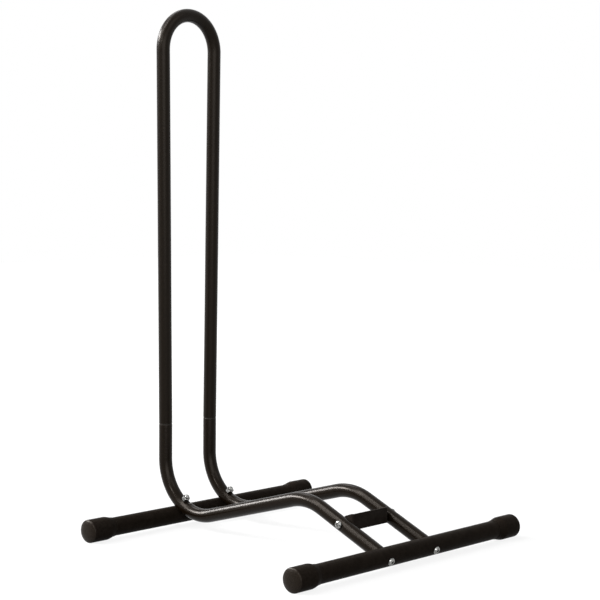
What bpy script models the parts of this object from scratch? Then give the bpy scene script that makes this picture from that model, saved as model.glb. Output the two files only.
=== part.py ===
"""Bike parking stand: a bent tube frame that holds a bicycle's wheel upright.

A tall hoop plugs into two side tubes. Each side tube turns forward under the hoop, rises over a hump and
falls to the front crossbar. Two crossbars with end caps stand on the floor. Units are metres, with +Z up,
+Y towards the hoop and +X to the right seen from the front. The origin is on the floor, midway between
the stand's front and back and under the middle of the front crossbar.
"""

from collections import namedtuple
from math import acos, atan2, cos, hypot, pi, radians, sin, sqrt, tan

import bmesh
import bpy
from mathutils import Matrix, Vector

# Tube stock
TUBE_OD = 0.019
TUBE_WALL = 0.0012
BAR_OD = 0.0254
BAR_WALL = 0.0015

# Clearances between pieces that touch, and round the bolts
SEAT_GAP = 0.0003
HOLE_SLACK = 0.0003

# Hoop
HOOP_HEIGHT = 0.7376
ARCH_SPREAD = 0.1007
LEG_SPREAD = 0.0884
JOINT_HEIGHT = 0.1446
SPIGOT_LENGTH = 0.045
SPIGOT_SLACK = 0.0003
SHOULDER_LENGTH = 0.003

# Side tubes: the centre line runs down from the joint, under the hoop, up to the hump and down to the front
FRONT_SPREAD = 0.0934
BEND_RADIUS = 0.0734
RISE_ANGLE = radians(15.65)
HUMP_REACH = 0.1337
HUMP_HEIGHT = 0.0760
HUMP_RADIUS = 0.079
FALL_ANGLE = radians(23.9)

# Crossbars: lengths are over the end caps, and offsets are along X
BASE_LENGTH = 0.3877
FRONT_BAR_LENGTH = 0.4572
REAR_BAR_LENGTH = 0.4442
SLOT_OFFSET = -0.0062
REAR_BAR_OFFSET = 0.0046

# End caps
CAP_OD = 0.0322
CAP_LENGTH = 0.0455
CAP_END_WALL = 0.005
CAP_FACE_R = 0.0145
CAP_FACE_BULGE = 0.0022
CAP_NECK_LENGTH = 0.0145
CAP_LIP = 0.0002

# Bolts and nuts, M6
BOLT_OD = 0.006
BOLT_END_CHAMFER = 0.0007
HEAD_OD = 0.0105
HEAD_HEIGHT = 0.003
HEAD_TOP_R = 0.0026
SOCKET_FLATS = 0.004
SOCKET_DEPTH = 0.0018
NUT_FLATS = 0.010
NUT_HEIGHT = 0.005
NUT_CHAMFER = 0.0005
THREAD_OUT = 0.0032
SPOT_FACE_DEPTH = 0.0005

# Where the side tubes are bolted, and how far their walls are pressed flat there
REAR_BOLT_TILT = radians(38)
SADDLE_PRESS = 0.0012
NUT_PRESS = 0.0008
HEAD_PRESS = 0.0010
PRESS_BLEND = 0.005
FRONT_BOLT_RISE = 0.001

# Threaded plugs in the front ends of the side tubes
PLUG_LENGTH = 0.016
PLUG_SETBACK = 0.001

# Bridge bracket: a strap bent to a U, with its web to the front
BRIDGE_REACH = 0.0703
BRIDGE_RISE = 0.0015
BRACKET_HEIGHT = 0.0212
BRACKET_LIFT = 0.0012
BRACKET_SETBACK = 0.0094
BRACKET_THICKNESS = 0.0025
BRACKET_BEND = 0.0015
BRACKET_EAR_R = 0.0093

# Facets
TUBE_SIDES = 20
BAR_SIDES = 24
BOLT_SIDES = 12
BEND_STEP = radians(7)
PRESS_STEP = 0.0025
PRESS_ROWS = 5
ARCH_STEPS = 20
SMOOTH_ANGLE = radians(35)

# Sizes that follow from the ones above
TUBE_R = TUBE_OD / 2
BAR_R = BAR_OD / 2
HOLE_R = BOLT_OD / 2 + HOLE_SLACK
CAP_FLAT_R = CAP_OD / 2 * cos(pi / BAR_SIDES)
BAR_Z = CAP_FLAT_R
SPIGOT_R = TUBE_R - TUBE_WALL - SPIGOT_SLACK
NUT_CORNER_R = NUT_FLATS / 2 / cos(pi / 6)

# Finishes: colour, roughness and metallic value
POWDER_COAT = ((0.016, 0.0145, 0.013), 0.42, 0.0)
CAP_PLASTIC = ((0.012, 0.011, 0.0105), 0.55, 0.0)
ZINC_PLATE = ((0.62, 0.62, 0.60), 0.28, 1.0)
PLAIN_STEEL = ((0.35, 0.34, 0.33), 0.45, 1.0)

Ring = namedtuple("Ring", "radius height hexagonal", defaults=(False,))
Seat = namedtuple("Seat", "point normal radius")


def clear_scene():
    for item in list(bpy.data.objects):
        bpy.data.objects.remove(item)


def material(name, finish):
    colour, roughness, metallic = finish
    made = bpy.data.materials.new(name)
    made.use_nodes = True
    shader = made.node_tree.nodes["Principled BSDF"]
    shader.inputs["Base Color"].default_value = (*colour, 1.0)
    shader.inputs["Roughness"].default_value = roughness
    shader.inputs["Metallic"].default_value = metallic
    return made


def empty(name, place=(0.0, 0.0, 0.0)):
    made = bpy.data.objects.new(name, None)
    made.location = place
    bpy.context.collection.objects.link(made)
    return made


def finished(bm, name, finish, parent, placing=None):
    """Object made from a closed bmesh, with its own material, placed under its parent."""
    bmesh.ops.recalc_face_normals(bm, faces=bm.faces)
    mesh = bpy.data.meshes.new(name)
    bm.to_mesh(mesh)
    bm.free()
    mesh.shade_smooth()
    mesh.set_sharp_from_angle(angle=SMOOTH_ANGLE)
    made = bpy.data.objects.new(name, mesh)
    bpy.context.collection.objects.link(made)
    mesh.materials.append(material(name, finish))
    made.parent = parent
    if placing:
        made.matrix_local = placing
    return made


def skin(bm, rings):
    """Faces between each ring of vertices and the next."""
    for near, far in zip(rings, rings[1:]):
        for i in range(len(near)):
            j = (i + 1) % len(near)
            bm.faces.new((near[i], near[j], far[j], far[i]))


def pipe(outer, inner):
    """Hollow tube, open at both ends, between its outer and its inner rings of points."""
    bm = bmesh.new()
    outer_rings = [[bm.verts.new(point) for point in ring] for ring in outer]
    inner_rings = [[bm.verts.new(point) for point in ring] for ring in inner]
    skin(bm, outer_rings)
    skin(bm, inner_rings)
    skin(bm, [outer_rings[0], inner_rings[0]])
    skin(bm, [outer_rings[-1], inner_rings[-1]])
    return bm


def reach_at(ring, angle):
    """Distance from the axis to a ring's outline at an angle. A hexagonal ring's radius is half its flats."""
    if not ring.hexagonal:
        return ring.radius
    return ring.radius / cos((angle + pi / 6) % (pi / 3) - pi / 6)


def lathe(profile, sides, phase=0.0, closed=False):
    """Solid about the local Z axis, through rings given from one end to the other."""
    bm = bmesh.new()
    rows = []
    for ring in profile:
        if ring.radius == 0:
            rows.append([bm.verts.new((0, 0, ring.height))])
            continue
        row = []
        for i in range(sides):
            angle = 2 * pi * i / sides + phase
            reach = reach_at(ring, angle)
            row.append(bm.verts.new((reach * cos(angle), reach * sin(angle), ring.height)))
        rows.append(row)
    if closed:
        rows.append(rows[0])
    for near, far in zip(rows, rows[1:]):
        if len(near) == 1 or len(far) == 1:
            pole, row = (near[0], far) if len(near) == 1 else (far[0], near)
            for i in range(sides):
                bm.faces.new((pole, row[i], row[(i + 1) % sides]))
        else:
            skin(bm, [near, far])
    return bm


def along(point, direction):
    """Matrix that puts the local origin at a point and the local Z axis along a direction."""
    turn = Vector((0, 0, 1)).rotation_difference(Vector(direction))
    return Matrix.Translation(point) @ turn.to_matrix().to_4x4()


def cut(target, cutter):
    modifier = target.modifiers.new(cutter.name, "BOOLEAN")
    modifier.operation = "DIFFERENCE"
    modifier.object = cutter


def bolt_cutter(name, placing, depth, head_room):
    """Bolt hole from the head's seat inwards, with the spot face for the head outside the seat."""
    rim = HEAD_OD / 2 + SEAT_GAP
    profile = [
        Ring(0, -head_room),
        Ring(rim, -head_room),
        Ring(rim, 0),
        Ring(HOLE_R, 0),
        Ring(HOLE_R, depth),
        Ring(0, depth),
    ]
    made = finished(lathe(profile, BOLT_SIDES), name, PLAIN_STEEL, None, placing)
    made.hide_render = True
    made.display_type = "WIRE"
    return made


class CentreLine:
    """Path in a plane: straights between corners, with an arc of the given radius at each inner corner."""

    def __init__(self, corners, radii):
        self.pieces = []
        self.length = 0.0
        start = corners[0]
        for before, corner, after, radius in zip(corners, corners[1:], corners[2:], radii):
            into = (corner - before).normalized()
            out = (after - corner).normalized()
            turn = atan2(into.x * out.y - into.y * out.x, into.dot(out))
            setback = radius * tan(abs(turn) / 2)
            self.add(start, into, (corner - into * setback - start).length, 0.0)
            self.add(corner - into * setback, into, radius * abs(turn), turn)
            start = corner + out * setback
        last = corners[-1] - start
        self.add(start, last.normalized(), last.length, 0.0)

    def add(self, start, heading, length, turn):
        self.pieces.append((self.length, start, heading, length, turn))
        self.length += length

    def at(self, distance):
        """Point and heading at a distance along the path."""
        began, start, heading, length, turn = self.pieces[0]
        for piece in self.pieces:
            if piece[0] <= distance:
                began, start, heading, length, turn = piece
        run = distance - began
        if turn == 0:
            return start + heading * run, heading
        radius = length / turn
        centre = start + radius * Vector((-heading.y, heading.x))
        swing = Matrix.Rotation(turn * run / length, 2)
        return centre + swing @ (start - centre), swing @ heading

    def nearest(self, point, steps=800):
        """Distance along the path to the place nearest a point."""
        places = [self.length * i / steps for i in range(steps + 1)]
        return min(places, key=lambda place: (self.at(place)[0] - point).length)

    def stations(self, pressed):
        """Distances of the sections: the ends of each piece, steps round the arcs, and rows where it is pressed."""
        marks = {0.0, self.length}
        for began, _, _, length, turn in self.pieces:
            steps = max(1, round(abs(turn) / BEND_STEP))
            marks.update(began + length * i / steps for i in range(steps + 1))
        rows = [place + PRESS_STEP * i for place in pressed for i in range(-PRESS_ROWS, PRESS_ROWS + 1)]
        marks = {mark for mark in marks if all(abs(mark - row) > PRESS_STEP / 2 for row in rows)}
        return sorted(marks.union({0.0, self.length}, rows))


def bend_centre_reach():
    """Distance from the front crossbar to the centre of the bend under the hoop.

    The bend rests on the rear crossbar and its arc is tangent to the rising straight.
    """
    slope = tan(RISE_ANGLE)
    height = HUMP_HEIGHT + HUMP_REACH * slope + BEND_RADIUS / cos(RISE_ANGLE) - BAR_Z
    contact = BEND_RADIUS + TUBE_R + BAR_R - SADDLE_PRESS
    a = 1 + slope**2
    b = BASE_LENGTH + height * slope
    c = BASE_LENGTH**2 + height**2 - contact**2
    return (b - sqrt(b**2 - a * c)) / a


def hump_fall(reach):
    """Height of the falling straight's centre line at a distance behind the front crossbar."""
    return HUMP_HEIGHT - (HUMP_REACH - reach) * tan(FALL_ANGLE)


def front_line_height():
    """How far the falling straight's centre line passes above the front crossbar's axis."""
    return (hump_fall(0) - BAR_Z) * cos(FALL_ANGLE)


def front_seat_distance():
    """Distance along a front bolt from the crossbar's axis out to the seat of the bolt's head."""
    height = front_line_height() + FRONT_BOLT_RISE
    return sqrt(BAR_R**2 - height**2) - SPOT_FACE_DEPTH


def front_reach():
    """How far the end caps or the front bolts' heads stand out in front of the front crossbar's axis."""
    under_head = (front_seat_distance() + SEAT_GAP) * cos(FALL_ANGLE)
    dome = hypot(HEAD_HEIGHT * cos(FALL_ANGLE), (HEAD_OD / 2 - HEAD_TOP_R) * sin(FALL_ANGLE))
    edge = (HEAD_TOP_R + front_line_height() + FRONT_BOLT_RISE) * sin(FALL_ANGLE)
    return max(CAP_FLAT_R, under_head + dome + edge)


LEG_REACH = bend_centre_reach() + BEND_RADIUS
FRONT_BAR_Y = (front_reach() - LEG_REACH - TUBE_R) / 2
REAR_BAR_Y = FRONT_BAR_Y + BASE_LENGTH
LEG_Y = FRONT_BAR_Y + LEG_REACH
FRONT_AXIS = Vector((FRONT_BAR_Y, BAR_Z))
REAR_AXIS = Vector((REAR_BAR_Y, BAR_Z))


def side_line():
    """Centre line of a side tube as (y, z), from its mouth to the front crossbar's axis."""
    corner_z = HUMP_HEIGHT - (LEG_REACH - HUMP_REACH) * tan(RISE_ANGLE)
    corners = [
        Vector((LEG_Y, JOINT_HEIGHT)),
        Vector((LEG_Y, corner_z)),
        Vector((FRONT_BAR_Y + HUMP_REACH, HUMP_HEIGHT)),
        Vector((FRONT_BAR_Y + TUBE_R + BAR_R, hump_fall(TUBE_R + BAR_R))),
    ]
    return CentreLine(corners, [BEND_RADIUS, HUMP_RADIUS])


def side_x(y):
    """Distance of a side tube's centre line from the slot's middle plane: it splays from the bend to the front."""
    bend_end = FRONT_BAR_Y + bend_centre_reach() - BEND_RADIUS * sin(RISE_ANGLE)
    forward = max(0.0, bend_end - y) / (bend_end - FRONT_BAR_Y)
    return LEG_SPREAD / 2 + (FRONT_SPREAD - LEG_SPREAD) / 2 * forward


def rear_bolt_axis():
    """Direction of a rear bolt as (y, z), from the crossbar's axis towards the nut."""
    return Vector((-sin(REAR_BOLT_TILT), cos(REAR_BOLT_TILT)))


def rear_nut_distance():
    """Distance from the rear crossbar's axis to the nut's pressed seat on the inside of the bend."""
    centre = Vector((bend_centre_reach() - BASE_LENGTH, 0))
    slope = tan(RISE_ANGLE)
    rise = HUMP_HEIGHT - (bend_centre_reach() - HUMP_REACH) * slope + BEND_RADIUS / cos(RISE_ANGLE)
    centre.y = rise - BAR_Z
    inside = BEND_RADIUS - TUBE_R
    across = rear_bolt_axis().dot(centre)
    return across - sqrt(across**2 - centre.length_squared + inside**2) - NUT_PRESS


def bridge_bolt_place():
    """The bridge bolts' axis as (y, z)."""
    return Vector((FRONT_BAR_Y + BRIDGE_REACH, hump_fall(BRIDGE_REACH) + BRIDGE_RISE))


def side_seats():
    """Flats pressed into the right-hand side tube, about the slot's middle plane: for the nut and the bolt's head."""
    axis = rear_bolt_axis()
    nut = REAR_AXIS + axis * rear_nut_distance()
    bolt = bridge_bolt_place()
    return [
        Seat(Vector((LEG_SPREAD / 2, *nut)), Vector((0, *axis)), NUT_CORNER_R),
        Seat(Vector((side_x(bolt.x) + TUBE_R - HEAD_PRESS, *bolt)), Vector((1, 0, 0)), HEAD_OD / 2),
    ]


def pressed(point, seats, depth):
    """Point of the tube's wall after the seats are pressed in. Depth is 0 outside and the wall's inside."""
    for seat in seats:
        offset = point - seat.point
        above = offset.dot(seat.normal) + depth
        if above <= 0:
            continue
        spread = (offset - seat.normal * offset.dot(seat.normal)).length
        outside = min(1.0, max(0.0, (spread - seat.radius) / PRESS_BLEND))
        point = point - seat.normal * above * (1 - outside * outside * (3 - 2 * outside))
    saddle = BAR_R + SEAT_GAP + depth
    offset = Vector((point.y, point.z)) - REAR_AXIS
    if offset.length < saddle:
        offset = offset.normalized() * saddle + REAR_AXIS
        point = Vector((point.x, *offset))
    return point


def coped(point, heading):
    """Point slid along the tube until it meets the front crossbar."""
    offset = Vector((point.y, point.z)) - FRONT_AXIS
    run = -offset.dot(heading)
    fit = BAR_R + SEAT_GAP
    run -= sqrt(run**2 - offset.length_squared + fit**2)
    return point + run * Vector((0, *heading))


def side_rings(line, seats, radius, depth, hand):
    """Rings of points down a side tube. Hand is 1 on the right and -1 on the left."""
    places = line.stations([line.nearest(Vector((seat.point.y, seat.point.z))) for seat in seats])
    rings = []
    for place in places:
        centre, heading = line.at(place)
        up = Vector((-heading.y, heading.x))
        ring = []
        for i in range(TUBE_SIDES):
            angle = 2 * pi * i / TUBE_SIDES
            lift = centre + up * radius * sin(angle)
            point = pressed(Vector((side_x(centre.x) + radius * cos(angle), *lift)), seats, depth)
            if place == places[-1]:
                point = coped(point, heading)
            ring.append((SLOT_OFFSET + hand * point.x, point.y, point.z))
        rings.append(ring)
    return rings


def side_tube(name, hand, parent):
    line = side_line()
    seats = side_seats()
    outer = side_rings(line, seats, TUBE_R, 0.0, hand)
    inner = side_rings(line, seats, TUBE_R - TUBE_WALL, TUBE_WALL, hand)
    return finished(pipe(outer, inner), name, POWDER_COAT, parent)


def hoop_lean():
    """Angle by which each leg of the hoop leans outwards, from its foot to where it meets the arch."""
    arch_r = ARCH_SPREAD / 2
    arch_height = HOOP_HEIGHT - TUBE_R - arch_r - JOINT_HEIGHT - SEAT_GAP - SHOULDER_LENGTH
    span = hypot(LEG_SPREAD / 2, arch_height)
    return atan2(arch_height, LEG_SPREAD / 2) - acos(arch_r / span)


def hoop_half():
    """Sections of the hoop's right half as (centre, outward direction, radius), up from the spigot's end.

    Centres are (x, z) from the joint, in the hoop's own plane.
    """
    foot = LEG_SPREAD / 2
    flat = Vector((1, 0))
    sections = [
        (Vector((foot, -SPIGOT_LENGTH)), flat, SPIGOT_R - SPIGOT_SLACK),
        (Vector((foot, SPIGOT_SLACK * 4 - SPIGOT_LENGTH)), flat, SPIGOT_R),
    ]
    turns = 4
    for i in range(turns + 1):
        angle = pi / 2 * i / turns
        height = SEAT_GAP + SHOULDER_LENGTH * (1 - cos(angle))
        sections.append((Vector((foot, height)), flat, SPIGOT_R + (TUBE_R - SPIGOT_R) * sin(angle)))
    lean = hoop_lean()
    arch_r = ARCH_SPREAD / 2
    middle = Vector((0, HOOP_HEIGHT - TUBE_R - arch_r - JOINT_HEIGHT))
    steps = ARCH_STEPS // 2
    for i in range(steps + 1):
        angle = -lean + (pi / 2 + lean) * i / steps
        outward = Vector((cos(angle), sin(angle)))
        sections.append((middle + arch_r * outward, outward, TUBE_R))
    return sections


def hoop_rings(depth):
    half = hoop_half()
    mirror = [(Vector((-c.x, c.y)), Vector((-out.x, out.y)), radius) for c, out, radius in half[-2::-1]]
    rings = []
    for centre, outward, radius in half + mirror:
        ring = []
        for i in range(TUBE_SIDES):
            angle = 2 * pi * i / TUBE_SIDES
            across = centre + outward * (radius - depth) * cos(angle)
            ring.append((across.x, (radius - depth) * sin(angle), across.y))
        rings.append(ring)
    return rings


def upper_hoop(parent):
    return finished(pipe(hoop_rings(0.0), hoop_rings(TUBE_WALL)), "upper_hoop", POWDER_COAT, parent)


def crossbar(name, length, offset, y, parent):
    """Straight tube along X that ends against the inside of each cap."""
    half = length / 2 - CAP_END_WALL - SEAT_GAP
    inside = BAR_R - BAR_WALL
    profile = [Ring(BAR_R, -half), Ring(BAR_R, half), Ring(inside, half), Ring(inside, -half)]
    bm = lathe(profile, BAR_SIDES, pi / BAR_SIDES, closed=True)
    return finished(bm, name, POWDER_COAT, parent, along((offset, y, BAR_Z), (1, 0, 0)))


def end_cap(name, tip_x, y, hand, parent):
    """Cup over a crossbar's end, whose face bulges. It has a flat along its underside, and stands on it."""
    bore = BAR_R + SEAT_GAP
    radius = CAP_OD / 2
    face_slope = atan2(3 * CAP_FACE_BULGE, CAP_FACE_R)
    edge_round = (radius - CAP_FACE_R) / (1 - sin(face_slope))
    profile = [Ring(0, CAP_END_WALL), Ring(bore, CAP_END_WALL), Ring(bore, CAP_LENGTH)]
    profile.append(Ring(bore + CAP_LIP, CAP_LENGTH))
    for i in range(4):
        part = i / 3
        height = CAP_LENGTH - CAP_LIP - (CAP_NECK_LENGTH - CAP_LIP) * part
        swell = part * part * (3 - 2 * part)
        profile.append(Ring(bore + 2 * CAP_LIP + (radius - bore - 2 * CAP_LIP) * swell, height))
    for part in (0, 1 / 2, 1):
        angle = (pi / 2 - face_slope) * part
        height = CAP_FACE_BULGE + edge_round * (cos(face_slope) - sin(angle))
        profile.append(Ring(radius - edge_round * (1 - cos(angle)), height))
    for part in (3 / 4, 1 / 2):
        profile.append(Ring(CAP_FACE_R * part, CAP_FACE_BULGE * part**3))
    profile.append(Ring(0, 0))
    bm = lathe(profile, BAR_SIDES, pi / BAR_SIDES)
    return finished(bm, name, CAP_PLASTIC, parent, along((tip_x, y, BAR_Z), (-hand, 0, 0)))


def bolt(name, length, placing, parent):
    """Button-head bolt. The local origin is under the head, and the shank runs along +Z."""
    shank = BOLT_OD / 2
    profile = [
        Ring(0, SOCKET_DEPTH - HEAD_HEIGHT),
        Ring(SOCKET_FLATS / 2, SOCKET_DEPTH - HEAD_HEIGHT, True),
        Ring(SOCKET_FLATS / 2, -HEAD_HEIGHT, True),
    ]
    for i in range(4):
        angle = pi / 2 * i / 3
        radius = HEAD_TOP_R + (HEAD_OD / 2 - HEAD_TOP_R) * sin(angle)
        profile.append(Ring(radius, -HEAD_HEIGHT * cos(angle)))
    profile += [
        Ring(shank, 0),
        Ring(shank, length - BOLT_END_CHAMFER),
        Ring(shank - BOLT_END_CHAMFER, length),
        Ring(0, length),
    ]
    return finished(lathe(profile, BOLT_SIDES), name, ZINC_PLATE, parent, placing)


def nut(name, placing, parent):
    """Hexagon nut. The local origin is on its seat, and it stands along +Z."""
    flats = NUT_FLATS / 2
    profile = [
        Ring(HOLE_R, 0),
        Ring(flats, 0),
        Ring(flats, NUT_CHAMFER, True),
        Ring(flats, NUT_HEIGHT - NUT_CHAMFER, True),
        Ring(flats, NUT_HEIGHT),
        Ring(HOLE_R, NUT_HEIGHT),
    ]
    return finished(lathe(profile, BOLT_SIDES, closed=True), name, ZINC_PLATE, parent, placing)


def rear_fastening(side, hand, tube, bar, base):
    """Bolt through the rear crossbar and the bend, with its nut on the inside of the bend."""
    axis = Vector((0, *rear_bolt_axis()))
    middle = Vector((SLOT_OFFSET + hand * LEG_SPREAD / 2, *REAR_AXIS))
    seat = middle - axis * (BAR_R - SPOT_FACE_DEPTH)
    nut_seat = middle + axis * (rear_nut_distance() + SEAT_GAP)
    under_head = seat - axis * SEAT_GAP
    reach = (nut_seat - under_head).length + NUT_HEIGHT + THREAD_OUT
    hole = bolt_cutter(f"rear_hole_{side}", along(seat, axis), reach, BAR_R)
    cut(tube, hole)
    cut(bar, hole)
    bolt(f"rear_bolt_{side}", reach, along(under_head, axis), base)
    nut(f"rear_nut_{side}", along(nut_seat, axis), base)


def front_fastening(side, hand, bar, base):
    """Bolt through the front crossbar into a threaded plug in the side tube's end."""
    heading = Vector((-cos(FALL_ANGLE), -sin(FALL_ANGLE)))
    up = Vector((heading.y, -heading.x))
    line_height = front_line_height()
    bolt_height = line_height + FRONT_BOLT_RISE
    x = SLOT_OFFSET + hand * FRONT_SPREAD / 2
    inward = Vector((0, *-heading))
    seat_distance = front_seat_distance()
    seat = Vector((x, *(FRONT_AXIS + up * bolt_height + heading * seat_distance)))
    under_head = seat - inward * SEAT_GAP
    plug_x = SLOT_OFFSET + hand * side_x(FRONT_BAR_Y + BAR_R + PLUG_LENGTH / 2)
    plug_start = BAR_R + SEAT_GAP + PLUG_SETBACK
    plug_place = Vector((plug_x, *(FRONT_AXIS + up * line_height - heading * plug_start)))
    reach = seat_distance + SEAT_GAP + plug_start + PLUG_LENGTH + THREAD_OUT
    hole = bolt_cutter(f"front_hole_{side}", along(seat, inward), reach, BAR_R)
    radius = TUBE_R - TUBE_WALL - SEAT_GAP
    profile = [Ring(0, 0), Ring(radius, 0), Ring(radius, PLUG_LENGTH), Ring(0, PLUG_LENGTH)]
    placing = along(plug_place, inward)
    plug = finished(lathe(profile, TUBE_SIDES), f"front_plug_{side}", PLAIN_STEEL, base, placing)
    cut(plug, hole)
    cut(bar, hole)
    bolt(f"front_bolt_{side}", reach, along(under_head, inward), base)


def flange_height(offset, corner):
    """How far a flange reaches from the bolt's axis at an offset behind it.

    The outline runs straight from the corner where the bend starts, and goes round the ear from where it touches it.
    """
    touch = atan2(corner.y, corner.x) - acos(BRACKET_EAR_R / corner.length)
    if offset < BRACKET_EAR_R * cos(touch):
        return (BRACKET_EAR_R - offset * cos(touch)) / sin(touch)
    return sqrt(BRACKET_EAR_R**2 - offset**2)


def bracket_stations():
    """Right half of the bracket's strap, from the flange's tip.

    Each station is (outer point, inward normal, lowest and highest height from the bolt's axis).
    """
    low = BRACKET_LIFT - BRACKET_HEIGHT / 2
    high = BRACKET_LIFT + BRACKET_HEIGHT / 2
    bolt_y = bridge_bolt_place().x
    bend = BRACKET_BEND + BRACKET_THICKNESS
    bend_offset = bend - BRACKET_SETBACK
    outer_x = side_x(bolt_y + BRACKET_EAR_R) - TUBE_R - SEAT_GAP
    inward = Vector((-1, 0))
    stations = []
    steps = 6
    for i in range(1, steps + 1):
        offset = BRACKET_EAR_R * cos(pi / 2 * i / steps)
        bottom = -flange_height(offset, Vector((bend_offset, -low)))
        top = flange_height(offset, Vector((bend_offset, high)))
        stations.append((Vector((outer_x, bolt_y + offset)), inward, bottom, top))
    middle = Vector((outer_x - bend, bolt_y + bend_offset))
    steps = 4
    for i in range(steps + 1):
        angle = pi / 2 * i / steps
        normal = Vector((-cos(angle), sin(angle)))
        stations.append((middle - bend * normal, normal, low, high))
    return stations


def bridge_bracket(parent):
    """U-shaped strap between the falling straights, with its web to the front and a flange along each tube."""
    half = bracket_stations()
    mirror = [(Vector((-p.x, p.y)), Vector((-n.x, n.y)), low, high) for p, n, low, high in reversed(half)]
    bolt_z = bridge_bolt_place().y
    bm = bmesh.new()
    rings = []
    for point, normal, low, high in half + mirror:
        inner = point + normal * BRACKET_THICKNESS
        corners = [(point, low), (point, high), (inner, high), (inner, low)]
        rings.append([bm.verts.new((SLOT_OFFSET + p.x, p.y, bolt_z + z)) for p, z in corners])
    skin(bm, rings)
    bm.faces.new(rings[0])
    bm.faces.new(rings[-1])
    return finished(bm, "bridge_bracket", POWDER_COAT, parent)


def bridge_fastening(side, hand, tube, bracket, base):
    """Bolt through a side tube and the bracket's flange, with its nut inside the bracket."""
    place = bridge_bolt_place()
    tube_x = side_x(place.x)
    inward = Vector((-hand, 0, 0))
    seat = Vector((SLOT_OFFSET + hand * (tube_x + TUBE_R - HEAD_PRESS), *place))
    under_head = seat - inward * SEAT_GAP
    flange_x = bracket_stations()[0][0].x - BRACKET_THICKNESS - SEAT_GAP
    nut_seat = Vector((SLOT_OFFSET + hand * flange_x, *place))
    reach = (nut_seat - under_head).length + NUT_HEIGHT + THREAD_OUT
    hole = bolt_cutter(f"bridge_hole_{side}", along(seat, inward), reach, TUBE_R)
    cut(tube, hole)
    cut(bracket, hole)
    bolt(f"bridge_bolt_{side}", reach, along(under_head, inward), base)
    nut(f"bridge_nut_{side}", along(nut_seat, inward), base)


def build():
    clear_scene()
    base = empty("base")
    hoop_slide = empty("hoop_slide", (SLOT_OFFSET, LEG_Y, JOINT_HEIGHT))
    hoop_slide.parent = base
    upper_hoop(hoop_slide)
    front_bar = crossbar("front_crossbar", FRONT_BAR_LENGTH, 0.0, FRONT_BAR_Y, base)
    rear_bar = crossbar("rear_crossbar", REAR_BAR_LENGTH, REAR_BAR_OFFSET, REAR_BAR_Y, base)
    bracket = bridge_bracket(base)
    for side, hand in (("left", -1), ("right", 1)):
        tube = side_tube(f"{side}_side_tube", hand, base)
        end_cap(f"front_{side}_cap", hand * FRONT_BAR_LENGTH / 2, FRONT_BAR_Y, hand, base)
        rear_tip = REAR_BAR_OFFSET + hand * REAR_BAR_LENGTH / 2
        end_cap(f"rear_{side}_cap", rear_tip, REAR_BAR_Y, hand, base)
        rear_fastening(side, hand, tube, rear_bar, base)
        front_fastening(side, hand, front_bar, base)
        bridge_fastening(side, hand, tube, bracket, base)


build()
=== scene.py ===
"""Looks of the bike parking stand: fine tubes, caps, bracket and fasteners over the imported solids.

Units are metres, with +Z up, +Y towards the hoop and +X to the right seen from the front.
"""

from math import acos, atan2, cos, hypot, pi, radians, sin, sqrt, tan

import bmesh
import bpy
from mathutils import Matrix, Vector


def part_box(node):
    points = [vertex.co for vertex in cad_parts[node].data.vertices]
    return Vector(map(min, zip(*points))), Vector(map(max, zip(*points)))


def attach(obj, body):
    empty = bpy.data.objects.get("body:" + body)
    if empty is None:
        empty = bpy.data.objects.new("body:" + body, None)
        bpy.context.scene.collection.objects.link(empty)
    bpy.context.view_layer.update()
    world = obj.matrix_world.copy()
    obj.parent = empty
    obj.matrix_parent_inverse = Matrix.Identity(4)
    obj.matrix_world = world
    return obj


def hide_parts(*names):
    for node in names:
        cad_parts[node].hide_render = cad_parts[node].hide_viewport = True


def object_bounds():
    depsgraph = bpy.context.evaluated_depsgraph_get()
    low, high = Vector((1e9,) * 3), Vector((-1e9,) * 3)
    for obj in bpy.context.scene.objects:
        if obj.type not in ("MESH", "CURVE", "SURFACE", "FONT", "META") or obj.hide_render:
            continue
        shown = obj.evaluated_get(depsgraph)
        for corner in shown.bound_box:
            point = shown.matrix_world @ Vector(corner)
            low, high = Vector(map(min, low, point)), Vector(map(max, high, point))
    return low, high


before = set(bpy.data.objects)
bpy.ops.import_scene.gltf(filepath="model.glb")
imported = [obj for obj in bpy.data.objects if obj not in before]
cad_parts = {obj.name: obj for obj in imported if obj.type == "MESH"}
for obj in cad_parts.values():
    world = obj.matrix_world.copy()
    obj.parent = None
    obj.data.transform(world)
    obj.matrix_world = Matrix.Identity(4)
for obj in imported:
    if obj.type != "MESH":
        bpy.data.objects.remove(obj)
cad_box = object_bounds()

# Tube stock and clearances
TUBE_OD = 0.019
TUBE_WALL = 0.0012
BAR_OD = 0.0254
BAR_WALL = 0.0015
SEAT_GAP = 0.0003
HOLE_SLACK = 0.0003

# Hoop. Its shoulder is shorter than the solid's, because the seam is a fine line.
ARCH_SPREAD = 0.1007
LEG_SPREAD = 0.0884
JOINT_HEIGHT = 0.1446
SPIGOT_LENGTH = 0.045
SPIGOT_SLACK = 0.0003
SPIGOT_CHAMFER = 0.0012
SHOULDER_LENGTH = 0.001

# Side tubes
FRONT_SPREAD = 0.0934
BEND_RADIUS = 0.0734
RISE_ANGLE = radians(15.65)
HUMP_REACH = 0.1337
HUMP_HEIGHT = 0.0760
HUMP_RADIUS = 0.079
FALL_ANGLE = radians(23.9)
RIM_ROUND = 0.0004

# Crossbars
SLOT_OFFSET = -0.0062
BAR_LENGTH = {"front": 0.4572, "rear": 0.4442}
BAR_OFFSET = {"front": 0.0, "rear": 0.0046}

# End caps. The face curves back by a power of the distance from its middle.
CAP_LENGTH = 0.0455
CAP_END_WALL = 0.005
CAP_FACE_R = 0.0145
CAP_FACE_BULGE = 0.0022
CAP_BULGE_POWER = 3
CAP_NECK_LENGTH = 0.0145
CAP_LIP = 0.0002

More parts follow.
